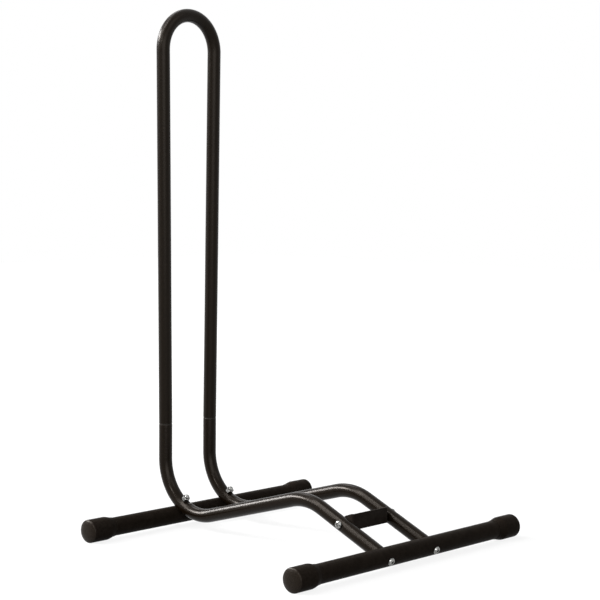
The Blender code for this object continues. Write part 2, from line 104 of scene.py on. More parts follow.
# Bolts and nuts, M6. The heads are 0.05 mm lower than the solids'.
BOLT_OD = 0.006
HEAD_OD = 0.0105
HEAD_HEIGHT = 0.00295
HEAD_TOP_R = 0.0026
SOCKET_FLATS = 0.004
SOCKET_DEPTH = 0.0018
SOCKET_POINT = 0.0005
SOCKET_CHAMFER = 0.0002
SOCKET_FLOOR_SHARE = 0.99
NUT_FLATS = 0.010
NUT_HEIGHT = 0.005
NUT_FACE_SHARE = 0.95
NUT_CHAMFER_ANGLE = radians(30)
BORE_CHAMFER = 0.0004
THREAD_OUT = 0.0032
THREAD_PITCH = 0.001
THREAD_DEPTH = 0.0005
THREAD_LENGTH = 0.012
THREAD_CHAMFER = 0.0007
SPOT_FACE_DEPTH = 0.0005
HEX_SIDE = pi / 3

# Shares of the thread's pitch: half the width of its root, and the width of a flank
THREAD_ROOT = 0.0625
THREAD_FLANK = 0.25

# Where the side tubes are bolted, and how far their walls are pressed flat there
REAR_BOLT_TILT = radians(38)
NUT_PRESS = 0.0008
HEAD_PRESS = 0.0010
PRESS_BLEND = 0.005
FRONT_BOLT_RISE = 0.001
PLUG_LENGTH = 0.016
PLUG_SETBACK = 0.001

# Bridge bracket
BRIDGE_REACH = 0.0703
BRIDGE_RISE = 0.0015
BRACKET_HEIGHT = 0.0212
BRACKET_LIFT = 0.0012
BRACKET_SETBACK = 0.0094
BRACKET_THICKNESS = 0.0025
BRACKET_BEND = 0.0015
BRACKET_EAR_R = 0.0093
BRACKET_EDGE = 0.0005

# Fineness of the meshes
TUBE_SIDES = 64
BAR_SIDES = 72
BOLT_SIDES = 48
BEND_STEP = radians(2.5)
ARCH_STEPS = 72
ARC_STEPS = 8
LONG_ARC_STEPS = 16
EAR_STEPS = 12
THREAD_ROWS = 8
SEARCH_STEPS = 800
SMOOTH_ANGLE = radians(35)
TINY = 0.000001

# Extra rings about the pressed seats, and beside the crossbars' bolt holes
PRESS_STEP = 0.0008
PRESS_ROWS = 16
BORE_ZONE = 0.012

# Turn of the bolt holes' cutters, which keeps their corners off those of the tubes
CUTTER_PHASE = radians(2.6)

UP = Vector((0, 0, 1))

# Sizes and places that follow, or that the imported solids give
TUBE_R = TUBE_OD / 2
BAR_R = BAR_OD / 2
HOLE_R = BOLT_OD / 2 + HOLE_SLACK
SPIGOT_R = TUBE_R - TUBE_WALL - SPIGOT_SLACK
NUT_CORNER_R = NUT_FLATS / 2 / cos(HEX_SIDE / 2)


def middle_of(node):
    """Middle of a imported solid's box."""
    low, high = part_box(node)
    return (low + high) / 2


# The crossbars' axes are (y, z)
FRONT_AXIS = Vector(middle_of("front_crossbar")[1:])
REAR_AXIS = Vector(middle_of("rear_crossbar")[1:])
BAR_AXIS = {"front": FRONT_AXIS, "rear": REAR_AXIS}
LEG_Y = middle_of("upper_hoop").y
HOOP_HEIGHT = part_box("upper_hoop")[1].z
BEND_CENTRE_Y = LEG_Y - BEND_RADIUS
CAP_R = FRONT_AXIS.x - cad_box[0].y


def arc(steps=ARC_STEPS):
    """Angles of a quarter turn, from 0 to 90 degrees."""
    return [pi / 2 * i / steps for i in range(steps + 1)]


def eased(share):
    """A share between 0 and 1, eased at both ends."""
    return share * share * (3 - 2 * share)


# Making and placing pieces


def mesh_object(bm, name, placing=None):
    """Object made from a closed bmesh, which is used up."""
    bmesh.ops.recalc_face_normals(bm, faces=bm.faces)
    mesh = bpy.data.meshes.new(name)
    bm.to_mesh(mesh)
    bm.free()
    if placing:
        mesh.transform(placing)
    made = bpy.data.objects.new(name, mesh)
    bpy.context.scene.collection.objects.link(made)
    return made


def smooth_shaded(mesh):
    """Shades the faces smooth, except across sharp edges."""
    mesh.shade_smooth()
    mesh.set_sharp_from_angle(angle=SMOOTH_ANGLE)


def finished(bm, node, body, material, placing=None):
    """Fine piece that rides on a body and stands for a node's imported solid."""
    made = mesh_object(bm, f"fine_{node}", placing)
    smooth_shaded(made.data)
    made.data.materials.append(material)
    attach(made, body)
    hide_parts(node)
    return made


def cut(target, cutters):
    """Cuts the holes for good, and takes the cutters away."""
    for cutter in cutters:
        modifier = target.modifiers.new(cutter.name, "BOOLEAN")
        modifier.operation = "DIFFERENCE"
        modifier.object = cutter
    evaluated = target.evaluated_get(bpy.context.evaluated_depsgraph_get())
    mesh = bpy.data.meshes.new_from_object(evaluated)
    target.modifiers.clear()
    target.data = mesh
    smooth_shaded(mesh)
    for cutter in cutters:
        bpy.data.objects.remove(cutter)


def skin(bm, rings):
    """Faces between each ring of vertices and the next."""
    for near, far in zip(rings, rings[1:]):
        for i in range(len(near)):
            j = (i + 1) % len(near)
            bm.faces.new((near[i], near[j], far[j], far[i]))


def looped(rings):
    """Hollow solid whose rings of points go down its outside and back up its inside."""
    bm = bmesh.new()
    rows = [[bm.verts.new(point) for point in ring] for ring in rings]
    skin(bm, rows + rows[:1])
    return bm


def turned(rows, sides, closed=False, phase=0.0):
    """Solid about the local Z axis.

    A row is (height, radius), and a radius may be a function of the angle.
    """
    bm = bmesh.new()
    rings = []
    for height, radius in rows:
        if radius == 0:
            rings.append([bm.verts.new((0, 0, height))])
            continue
        ring = []
        for i in range(sides):
            angle = 2 * pi * i / sides + phase
            reach = radius(angle) if callable(radius) else radius
            ring.append(bm.verts.new((reach * cos(angle), reach * sin(angle), height)))
        rings.append(ring)
    if closed:
        rings.append(rings[0])
    for near, far in zip(rings, rings[1:]):
        if len(near) == 1 or len(far) == 1:
            pole, ring = (near[0], far) if len(near) == 1 else (far[0], near)
            for i in range(sides):
                bm.faces.new((pole, ring[i], ring[(i + 1) % sides]))
        else:
            skin(bm, [near, far])
    return bm


def along(point, axis):
    """Matrix that puts the local origin at a point and the local Z axis along another axis."""
    turn = UP.rotation_difference(Vector(axis))
    return Matrix.Translation(point) @ turn.to_matrix().to_4x4()


def bolt_cutter(placing, depth, head_room):
    """Bolt hole from the head's seat inwards, with the spot face for the head outside the seat."""
    rim = HEAD_OD / 2 + SEAT_GAP
    rows = [(-head_room, 0), (-head_room, rim), (0, rim), (0, HOLE_R), (depth, HOLE_R), (depth, 0)]
    return mesh_object(turned(rows, BOLT_SIDES, phase=CUTTER_PHASE), "bolt_cutter", placing)


# Materials. Colours are linear.

# Where most of a noise's values lie
NOISE_LOW = 0.3
NOISE_HIGH = 0.7

# Tint of the gloss, and a lighter line painted about the hoop's joint: a painted highlight of the
# light its rim catches, partly worn paint
WARM = (1.0, 0.89, 0.79, 1.0)
JOINT_HIGHLIGHT_AND_WEAR = (0.028, 0.025, 0.022)
JOINT_HIGHLIGHT_REACH = 0.0018

# A cap's faces that are turned this far towards its end get the end face's plastic
FACE_TURN = 0.4


class Finish:
    """Material built from nodes. Textures lie in the object's own coordinates, in metres."""

    def __init__(self, name):
        self.material = bpy.data.materials.new(name)
        self.material.use_nodes = True
        self.nodes = self.material.node_tree.nodes
        self.links = self.material.node_tree.links
        self.shader = self.nodes["Principled BSDF"]
        self.place = self.nodes.new("ShaderNodeTexCoord").outputs["Object"]

    def noise(self, grain, detail=2.0):
        """Noise whose features are about the grain's size across."""
        node = self.nodes.new("ShaderNodeTexNoise")
        node.inputs["Scale"].default_value = 1 / grain
        node.inputs["Detail"].default_value = detail
        self.links.new(self.place, node.inputs["Vector"])
        return node.outputs["Fac"]

    def between(self, value, low, high, start=NOISE_LOW, end=NOISE_HIGH):
        """A value stretched from its usual spread to a range."""
        node = self.nodes.new("ShaderNodeMapRange")
        node.inputs["From Min"].default_value = start
        node.inputs["From Max"].default_value = end
        node.inputs["To Min"].default_value = low
        node.inputs["To Max"].default_value = high
        self.links.new(value, node.inputs["Value"])
        return node.outputs["Result"]

    def colour(self, dark, light, grain, detail=2.0, start=NOISE_LOW, end=NOISE_HIGH):
        """Base colour that goes from dark to light as a noise goes from start to end."""
        ramp = self.nodes.new("ShaderNodeValToRGB")
        stops = ramp.color_ramp.elements
        stops[0].position = start
        stops[0].color = (*dark, 1.0)
        stops[1].position = end
        stops[1].color = (*light, 1.0)
        self.links.new(self.noise(grain, detail), ramp.inputs["Fac"])
        self.links.new(ramp.outputs["Color"], self.shader.inputs["Base Color"])

    def near_height(self, height, reach):
        """1 at a height, fading to 0 at the reach above and below it."""
        axes = self.nodes.new("ShaderNodeSeparateXYZ")
        self.links.new(self.place, axes.inputs["Vector"])
        offset = self.nodes.new("ShaderNodeMath")
        offset.operation = "SUBTRACT"
        offset.inputs[1].default_value = height
        self.links.new(axes.outputs["Z"], offset.inputs[0])
        size = self.nodes.new("ShaderNodeMath")
        size.operation = "ABSOLUTE"
        self.links.new(offset.outputs["Value"], size.inputs[0])
        return self.between(size.outputs["Value"], 1.0, 0.0, start=0.0, end=reach)

    def painted_band(self, shade, height, reach):
        """Lays another colour over the base colour about a height, as a painted band."""
        socket = self.shader.inputs["Base Color"]
        mix = self.nodes.new("ShaderNodeMix")
        mix.data_type = "RGBA"
        self.links.new(self.near_height(height, reach), mix.inputs["Factor"])
        self.links.new(socket.links[0].from_socket, mix.inputs["A"])
        mix.inputs["B"].default_value = (*shade, 1.0)
        self.links.new(mix.outputs["Result"], socket)

    def roughness(self, low, high, grain, detail=2.0):
        """Roughness that goes from low to high with a noise."""
        value = self.between(self.noise(grain, detail), low, high)
        self.links.new(value, self.shader.inputs["Roughness"])

    def bump(self, height, grain, detail=2.0):
        """Adds bumps from a noise, on top of those that are there."""
        node = self.nodes.new("ShaderNodeBump")
        node.inputs["Distance"].default_value = height
        self.links.new(self.noise(grain, detail), node.inputs["Height"])
        socket = self.shader.inputs["Normal"]
        if socket.links:
            self.links.new(socket.links[0].from_socket, node.inputs["Normal"])
        self.links.new(node.outputs["Normal"], socket)

    def paint(self, gloss):
        """Paint or plastic, whose gloss is slightly warm."""
        self.shader.inputs["Metallic"].default_value = 0.0
        self.shader.inputs["Specular IOR Level"].default_value = gloss
        self.shader.inputs["Specular Tint"].default_value = WARM

    def metal(self):
        """Bare or plated metal."""
        self.shader.inputs["Metallic"].default_value = 1.0


def powder_coat(name, gloss, smooth, rough, coarse, fine):
    """Near-black powder coat, slightly warm, with a painted highlight and wear at the hoop's joint.

    Smooth and rough are the ends of its roughness. Coarse and fine are the heights of its bumps.
    """
    coat = Finish(name)
    coat.paint(gloss)
    coat.colour((0.0026, 0.0014, 0.0006), (0.0046, 0.0028, 0.0014), grain=0.004, detail=3.0)
    # Lighter band about the joint: a painted highlight of the light the rim catches, partly worn
    # paint
    coat.painted_band(JOINT_HIGHLIGHT_AND_WEAR, JOINT_HEIGHT, JOINT_HIGHLIGHT_REACH)
    coat.roughness(smooth, rough, grain=0.0016)
    coat.bump(coarse, grain=0.0045, detail=1.0)
    coat.bump(fine, grain=0.0012)
    return coat.material


def dull_coat(name, dark, light):
    """The coat on the crossbars and the bracket, smoother and duller, in given base colours."""
    coat = Finish(name)
    coat.paint(gloss=0.010)
    coat.colour(dark, light, grain=0.009, detail=3.0)
    coat.roughness(low=0.32, high=0.44, grain=0.003)
    coat.bump(height=0.00012, grain=0.0040, detail=1.0)
    coat.bump(height=0.00004, grain=0.0010)
    return coat.material


def cap_plastic():
    """Moulded black plastic with a fine grain."""
    plastic = Finish("cap_plastic")
    plastic.paint(gloss=0.005)
    plastic.colour((0.0096, 0.0072, 0.0055), (0.0138, 0.0108, 0.0086), grain=0.003)
    plastic.roughness(low=0.26, high=0.36, grain=0.0012)
    plastic.bump(height=0.00002, grain=0.0005)
    return plastic.material


def face_plastic():
    """The same plastic, but shinier, on the caps' end faces and their rounded edges."""
    plastic = Finish("cap_face_plastic")
    plastic.paint(gloss=0.11)
    plastic.colour((0.0055, 0.0036, 0.0022), (0.0085, 0.0060, 0.0041), grain=0.003)
    plastic.roughness(low=0.24, high=0.36, grain=0.0012)
    plastic.bump(height=0.00012, grain=0.0020, detail=1.0)
    plastic.bump(height=0.00002, grain=0.0005)
    return plastic.material


def zinc_plate():
    """Zinc plate, darker and blotchier than bright zinc: painted dark reflection of dim
    surroundings.
    """
    zinc = Finish("zinc_plate")
    zinc.metal()
    # Far darker than bright zinc, with darker blotches: painted dark reflection, standing in for dim
    # surroundings
    dark, light = (0.13, 0.13, 0.125), (0.34, 0.34, 0.33)
    zinc.colour(dark, light, grain=0.0020, detail=1.0, start=0.35, end=0.65)
    zinc.roughness(low=0.16, high=0.28, grain=0.0008, detail=3.0)
    zinc.bump(height=0.00005, grain=0.0015, detail=1.0)
    zinc.bump(height=0.000006, grain=0.0004, detail=3.0)
    return zinc.material


def plain_steel():
    """Turned steel of the plugs inside the side tubes."""
    steel = Finish("plain_steel")
    steel.metal()
    steel.colour((0.32, 0.31, 0.30), (0.42, 0.41, 0.40), grain=0.002)
    steel.roughness(low=0.38, high=0.52, grain=0.001)
    steel.bump(height=0.00001, grain=0.0005)
    return steel.material


COAT = powder_coat(
    "powder_coat", gloss=0.105, smooth=0.21, rough=0.28, coarse=0.00008, fine=0.00003
)
HOOP_COAT = powder_coat(
    "hoop_powder_coat", gloss=0.115, smooth=0.30, rough=0.36, coarse=0.00006, fine=0.00002
)
BAR_COAT = dull_coat(
    "crossbar_powder_coat", dark=(0.0069, 0.0050, 0.0037), light=(0.0112, 0.0085, 0.0065)
)
# The bracket's copy is lighter than the crossbars': painted light, for the brighter light falling on
# it
BRACKET_LIT_COAT = dull_coat(
    "bracket_coat_painted_lighter", dark=(0.0115, 0.0090, 0.0074), light=(0.0175, 0.0143, 0.0120)
)
PLASTIC = cap_plastic()
FACE_PLASTIC = face_plastic()
ZINC = zinc_plate()
STEEL = plain_steel()


# Side tubes


class CentreLine:
    """Path in a plane: straights between corners, with an arc of a given radius at each turn."""

    def __init__(self, corners, radii):
        self.pieces = []
        self.length = 0.0
        start = corners[0]
        for before, corner, after, radius in zip(corners, corners[1:], corners[2:], radii):
            into = (corner - before).normalized()
            out = (after - corner).normalized()
            turn = atan2(into.x * out.y - into.y * out.x, into.dot(out))
            setback = radius * tan(abs(turn) / 2)
            self.add(start, into, (corner - into * setback - start).length, 0.0)
            self.add(corner - into * setback, into, radius * abs(turn), turn)
            start = corner + out * setback
        last = corners[-1] - start
        self.add(start, last.normalized(), last.length, 0.0)

    def add(self, start, heading, length, turn):
        """Adds a straight, or an arc that turns by an angle, to the end of the path."""
        self.pieces.append((self.length, start, heading, length, turn))
        self.length += length

    def at(self, distance):
        """Point and heading at a distance along the path."""
        began, start, heading, length, turn = self.pieces[0]
        for piece in self.pieces:
            if piece[0] <= distance:
                began, start, heading, length, turn = piece
        run = distance - began
        if turn == 0:
            return start + heading * run, heading
        radius = length / turn
        centre = start + radius * Vector((-heading.y, heading.x))
        swing = Matrix.Rotation(turn * run / length, 2)
        return centre + swing @ (start - centre), swing @ heading

    def nearest(self, point):
        """Distance along the path to the place nearest a point."""
        places = [self.length * i / SEARCH_STEPS for i in range(SEARCH_STEPS + 1)]
        return min(places, key=lambda place: (self.at(place)[0] - point).length)

    def stations(self, seats):
        """Distances of the sections: ends of pieces, steps round arcs, and rows about the seats."""
        marks = {self.length}
        for began, _, _, length, turn in self.pieces:
            steps = max(1, round(abs(turn) / BEND_STEP))
            marks.update(began + length * i / steps for i in range(steps + 1))
        offsets = [PRESS_STEP * i for i in range(-PRESS_ROWS, PRESS_ROWS + 1)]
        rows = [seat + offset for seat in seats for offset in offsets]
        marks = {mark for mark in marks if all(abs(mark - row) > PRESS_STEP / 2 for row in rows)}
        return sorted(mark for mark in marks.union({self.length}, rows) if mark > RIM_ROUND)


def hump_fall(reach):
    """Height of the falling straight's centre line at a distance behind the front crossbar."""
    return HUMP_HEIGHT - (HUMP_REACH - reach) * tan(FALL_ANGLE)


def front_line_height():
    """How far the falling straight's centre line passes above the front crossbar's axis."""
    return (hump_fall(0) - FRONT_AXIS.y) * cos(FALL_ANGLE)


def side_line():
    """Centre line of a side tube as (y, z), from its mouth to the front crossbar's axis."""
    corner_z = HUMP_HEIGHT - (LEG_Y - FRONT_AXIS.x - HUMP_REACH) * tan(RISE_ANGLE)
    corners = [
        Vector((LEG_Y, JOINT_HEIGHT)),
        Vector((LEG_Y, corner_z)),
        Vector((FRONT_AXIS.x + HUMP_REACH, HUMP_HEIGHT)),
        Vector((FRONT_AXIS.x + TUBE_R + BAR_R, hump_fall(TUBE_R + BAR_R))),
    ]
    return CentreLine(corners, [BEND_RADIUS, HUMP_RADIUS])


def side_x(y):
    """Distance of a side tube's centre line from the slot's middle plane.

    It splays from the bend to the front.
    """
    bend_end = BEND_CENTRE_Y - BEND_RADIUS * sin(RISE_ANGLE)
    forward = max(0.0, bend_end - y) / (bend_end - FRONT_AXIS.x)
    return LEG_SPREAD / 2 + (FRONT_SPREAD - LEG_SPREAD) / 2 * forward


def rear_bolt_axis():
    """Direction of a rear bolt as (y, z), from the crossbar's axis towards the nut."""
    return Vector((-sin(REAR_BOLT_TILT), cos(REAR_BOLT_TILT)))


def rear_nut_distance():
    """Distance from the rear crossbar's axis to the nut's pressed seat inside the bend."""
    bend_reach = BEND_CENTRE_Y - FRONT_AXIS.x
    rise = HUMP_HEIGHT - (bend_reach - HUMP_REACH) * tan(RISE_ANGLE) + BEND_RADIUS / cos(RISE_ANGLE)
    centre = Vector((BEND_CENTRE_Y, rise)) - REAR_AXIS
    across = rear_bolt_axis().dot(centre)
    inner_r = BEND_RADIUS - TUBE_R
    return across - sqrt(across**2 - centre.length_squared + inner_r**2) - NUT_PRESS


def bridge_bolt_place():
    """The bridge bolts' axis as (y, z)."""
    return Vector((FRONT_AXIS.x + BRIDGE_REACH, hump_fall(BRIDGE_REACH) + BRIDGE_RISE))


def bridge_seat_x():
    """Distance of a bridge bolt's pressed seat from the slot's middle plane."""
    return side_x(bridge_bolt_place().x) + TUBE_R - HEAD_PRESS


def side_seats():
    """Flats pressed into the right tube under the nut and the bridge bolt's head.

    Each is (point, outward normal, radius), and points are measured from the slot's middle plane.
    """
    axis = rear_bolt_axis()
    nut = REAR_AXIS + axis * rear_nut_distance()
    bolt = bridge_bolt_place()
    return [
        (Vector((LEG_SPREAD / 2, *nut)), Vector((0, *axis)), NUT_CORNER_R),
        (Vector((bridge_seat_x(), *bolt)), Vector((1, 0, 0)), HEAD_OD / 2),
    ]


def pressed(point, seats, depth):
    """Point of the tube's wall after the seats and the saddle are pressed in.

    Depth is how far the point lies under the tube's outside.
    """
    for seat, normal, radius in seats:
        offset = point - seat
        above = offset.dot(normal) + depth
        if above <= 0:
            continue
        spread = (offset - normal * offset.dot(normal)).length
        outside = min(1.0, max(0.0, (spread - radius) / PRESS_BLEND))
        point = point - normal * above * (1 - eased(outside))
    saddle = BAR_R + SEAT_GAP + depth
    offset = point.yz - REAR_AXIS
    if offset.length < saddle:
        offset = offset.normalized() * saddle + REAR_AXIS
        point = Vector((point.x, *offset))
    return point


def coped(point, heading):
    """Point slid along the tube until it meets the front crossbar."""
    offset = point.yz - FRONT_AXIS
    run = -offset.dot(heading)
    fit = BAR_R + SEAT_GAP
    run -= sqrt(run**2 - offset.length_squared + fit**2)
    return point + run * Vector((0, *heading))


def side_ring(line, seats, place, radius, depth, hand):
    """Ring of points round a side tube. Hand is 1 on the right and -1 on the left."""
    centre, heading = line.at(place)
    up = Vector((-heading.y, heading.x))
    ring = []
    for i in range(TUBE_SIDES):
        angle = 2 * pi * i / TUBE_SIDES
        lift = centre + up * radius * sin(angle)
        point = pressed(Vector((side_x(centre.x) + radius * cos(angle), *lift)), seats, depth)
        if place == line.length:
            point = coped(point, heading)
        ring.append((SLOT_OFFSET + hand * point.x, point.y, point.z))
    return ring


def side_tube(side, hand, cutters):
    """Bent tube with a rounded mouth, pressed seats, and its front end coped to the crossbar."""
    line = side_line()
    seats = side_seats()
    places = line.stations([line.nearest(seat.yz) for seat, _, _ in seats])
    inside = TUBE_R - TUBE_WALL
    rim = [(RIM_ROUND * (1 - sin(angle)), RIM_ROUND * (1 - cos(angle))) for angle in arc()]
    rings = [side_ring(line, [], place, TUBE_R - inset, 0.0, hand) for place, inset in rim[::-1]]
    rings += [side_ring(line, seats, place, TUBE_R, 0.0, hand) for place in places]
    rings += [side_ring(line, seats, place, inside, TUBE_WALL, hand) for place in places[::-1]]
    rings += [side_ring(line, [], place, inside + inset, 0.0, hand) for place, inset in rim]
    made = finished(looped(rings), f"{side}_side_tube", "base", COAT)
    cut(made, cutters)


# Hoop


def hoop_sections():
    """Sections of the hoop, from one spigot's end round to the other's.

    Each is (centre, outward direction, radius). Centres are (x, z) in the hoop's plane, from the
    slot's middle at the joint's height.
    """
    foot = LEG_SPREAD / 2
    flat = Vector((1, 0))
    half = [
        (Vector((foot, -SPIGOT_LENGTH)), flat, SPIGOT_R - SPIGOT_SLACK),
        (Vector((foot, SPIGOT_CHAMFER - SPIGOT_LENGTH)), flat, SPIGOT_R),
    ]
    for angle in arc():
        height = SEAT_GAP + SHOULDER_LENGTH * (1 - cos(angle))
        half.append((Vector((foot, height)), flat, SPIGOT_R + (TUBE_R - SPIGOT_R) * sin(angle)))
    arch_r = ARCH_SPREAD / 2
    arch_height = HOOP_HEIGHT - TUBE_R - arch_r - JOINT_HEIGHT
    leg = arch_height - SEAT_GAP - SHOULDER_LENGTH
    lean = atan2(leg, foot) - acos(arch_r / hypot(foot, leg))
    steps = ARCH_STEPS // 2
    for i in range(steps + 1):
        angle = -lean + (pi / 2 + lean) * i / steps
        outward = Vector((cos(angle), sin(angle)))
        half.append((Vector((0, arch_height)) + arch_r * outward, outward, TUBE_R))
    mirrored = []
    # The section at the arch's top is its own mirror image
    for centre, outward, radius in half[-2::-1]:
        mirrored.append((Vector((-centre.x, centre.y)), Vector((-outward.x, outward.y)), radius))
    return half + mirrored


def hoop_ring(centre, outward, radius):
    """Ring of points round the hoop's tube."""
    ring = []
    for i in range(TUBE_SIDES):
        angle = 2 * pi * i / TUBE_SIDES
        across = centre + outward * radius * cos(angle)
        ring.append((SLOT_OFFSET + across.x, LEG_Y + radius * sin(angle), JOINT_HEIGHT + across.y))
    return ring


def upper_hoop():
    """Arched tube, drawn in at both ends to fit into the side tubes."""
    sections = hoop_sections()
    rings = [hoop_ring(*section) for section in sections]
    for centre, outward, radius in reversed(sections):
        rings.append(hoop_ring(centre, outward, radius - TUBE_WALL))
    finished(looped(rings), "upper_hoop", "hoop", HOOP_COAT)


# Crossbars and caps


def crossbar(place, bolts_at, cutters):
    """Straight tube along X, with extra rings beside its bolt holes."""
    half = BAR_LENGTH[place] / 2 - CAP_END_WALL - SEAT_GAP
    marks = {-half, half}
    for x in bolts_at:
        marks.update((x - BAR_OFFSET[place] - BORE_ZONE, x - BAR_OFFSET[place] + BORE_ZONE))
    marks = sorted(marks)
    rows = [(mark, BAR_R) for mark in marks]
    rows += [(mark, BAR_R - BAR_WALL) for mark in reversed(marks)]
    placing = along((BAR_OFFSET[place], *BAR_AXIS[place]), (1, 0, 0))
    bm = turned(rows, BAR_SIDES, closed=True)
    made = finished(bm, f"{place}_crossbar", "base", BAR_COAT, placing)
    cut(made, cutters)


def end_cap(place, side, hand):
    """Cup over a crossbar's end. Its face bulges, and it stands on a flat along its underside."""
    bore = BAR_R + SEAT_GAP
    face_slope = atan2(CAP_BULGE_POWER * CAP_FACE_BULGE, CAP_FACE_R)
    edge_round = (CAP_R - CAP_FACE_R) / (1 - sin(face_slope))
    neck = bore + 2 * CAP_LIP
    rows = [(CAP_END_WALL, 0), (CAP_END_WALL, bore), (CAP_LENGTH, bore)]
    for angle in arc():
        height = CAP_LENGTH - CAP_LIP * (1 - cos(angle))
        rows.append((height, bore + CAP_LIP + CAP_LIP * sin(angle)))
    for i in range(1, LONG_ARC_STEPS + 1):
        part = i / LONG_ARC_STEPS
        height = CAP_LENGTH - CAP_LIP - (CAP_NECK_LENGTH - CAP_LIP) * part
        rows.append((height, neck + (CAP_R - neck) * eased(part)))
    for i in range(ARC_STEPS + 1):
        angle = (pi / 2 - face_slope) * i / ARC_STEPS
        height = CAP_FACE_BULGE + edge_round * (cos(face_slope) - sin(angle))
        rows.append((height, CAP_R - edge_round * (1 - cos(angle))))
    for i in range(ARC_STEPS - 1, 0, -1):
        part = i / ARC_STEPS
        rows.append((CAP_FACE_BULGE * part**CAP_BULGE_POWER, CAP_FACE_R * part))
    rows.append((0, 0))
    tip = BAR_OFFSET[place] + hand * BAR_LENGTH[place] / 2
    bm = turned(rows, BAR_SIDES)
    placing = along((tip, *BAR_AXIS[place]), (-hand, 0, 0))
    bmesh.ops.transform(bm, matrix=placing, verts=bm.verts)
    for vertex in bm.verts:
        vertex.co.z = max(vertex.co.z, 0.0)
    made = finished(bm, f"{place}_{side}_cap", "base", PLASTIC)
    made.data.materials.append(FACE_PLASTIC)
    for face in made.data.polygons:
        if abs(face.normal.x) > FACE_TURN:
            face.material_index = 1


# Bolts and nuts


def hexagon(flats):
    """Distance from the axis to a hexagon's outline, as a function of the angle."""
    return lambda angle: flats / 2 / cos((angle + HEX_SIDE / 2) % HEX_SIDE - HEX_SIDE / 2)


def thread(height, start, end):
    """Radius of a thread at a height, as a function of the angle.

    The thread fades in after its start and has a chamfer before its end.
    """

    def radius(angle):
        phase = ((height - start) / THREAD_PITCH - angle / (2 * pi)) % 1.0
        flank = (THREAD_ROOT + THREAD_FLANK - abs(phase - 0.5)) / THREAD_FLANK
        groove = min(1.0, max(0.0, flank))
        fade = min(1.0, (height - start) / THREAD_PITCH)
        limit = BOLT_OD / 2 - max(0.0, height - (end - THREAD_CHAMFER))
        return min(BOLT_OD / 2 - THREAD_DEPTH * groove * fade, limit)

    return radius


def bolt(node, length, placing):
    """Button-head bolt. The local origin is under the head, and the shank runs along +Z."""
    floor = SOCKET_DEPTH - HEAD_HEIGHT
    socket = hexagon(SOCKET_FLATS)
    rows = [
        (floor + SOCKET_POINT, 0),
        (floor, lambda angle: socket(angle) * SOCKET_FLOOR_SHARE),
        (floor, socket),
        (-HEAD_HEIGHT + SOCKET_CHAMFER, socket),
        (-HEAD_HEIGHT, lambda angle: socket(angle) + SOCKET_CHAMFER),
    ]
    for angle in arc(LONG_ARC_STEPS):
        radius = HEAD_TOP_R + (HEAD_OD / 2 - HEAD_TOP_R) * sin(angle)
        rows.append((-HEAD_HEIGHT * cos(angle), radius))
    start = max(THREAD_PITCH, length - THREAD_LENGTH)
    rows += [(0, BOLT_OD / 2), (start, BOLT_OD / 2)]
    steps = int((length - start) / THREAD_PITCH * THREAD_ROWS)
    for i in range(1, steps + 1):
        height = start + (length - start) * i / steps
        rows.append((height, thread(height, start, length)))
    rows.append((length, 0))
    finished(turned(rows, BOLT_SIDES), node, "base", ZINC, placing)


def nut(node, placing):
    """Hexagon nut with its corners chamfered at both faces. The local origin is on its seat."""
    outline = hexagon(NUT_FLATS)
    face_r = NUT_FLATS / 2 * NUT_FACE_SHARE
    slope = 1 / tan(NUT_CHAMFER_ANGLE)
    depth = (NUT_CORNER_R - face_r) / slope

    def chamfered(height):
        return lambda angle: min(outline(angle), face_r + height * slope)

    heights = [depth * i / ARC_STEPS for i in range(1, ARC_STEPS + 1)]
    half = [(BORE_CHAMFER, HOLE_R), (0, HOLE_R + BORE_CHAMFER), (0, face_r)]
    half += [(height, chamfered(height)) for height in heights]
    rows = half + [(NUT_HEIGHT - height, radius) for height, radius in reversed(half)]
    bm = turned(rows, BOLT_SIDES, closed=True)
    finished(bm, node, "base", ZINC, placing)


def rear_fastening(side, hand):
    """Bolt through the rear crossbar and the bend. Returns where its hole goes, and how deep."""
    axis = Vector((0, *rear_bolt_axis()))
    middle = Vector((SLOT_OFFSET + hand * LEG_SPREAD / 2, *REAR_AXIS))
    seat = middle - axis * (BAR_R - SPOT_FACE_DEPTH)
    nut_seat = middle + axis * (rear_nut_distance() + SEAT_GAP)
    under_head = seat - axis * SEAT_GAP
    reach = (nut_seat - under_head).length + NUT_HEIGHT + THREAD_OUT
    bolt(f"rear_bolt_{side}", reach, along(under_head, axis))
    nut(f"rear_nut_{side}", along(nut_seat, axis))
    return along(seat, axis), reach


def front_fastening(side, hand):
    """Bolt through the front crossbar into the plug. Returns where its hole goes, and how deep."""
    heading = Vector((-cos(FALL_ANGLE), -sin(FALL_ANGLE)))
    up = Vector((heading.y, -heading.x))
    height = front_line_height() + FRONT_BOLT_RISE
    inward = Vector((0, *-heading))
    distance = sqrt(BAR_R**2 - height**2) - SPOT_FACE_DEPTH
    seat_place = FRONT_AXIS + up * height + heading * distance
    seat = Vector((SLOT_OFFSET + hand * FRONT_SPREAD / 2, *seat_place))
    under_head = seat - inward * SEAT_GAP
    reach = distance + SEAT_GAP + BAR_R + SEAT_GAP + PLUG_SETBACK + PLUG_LENGTH + THREAD_OUT
    bolt(f"front_bolt_{side}", reach, along(under_head, inward))
    return along(seat, inward), reach


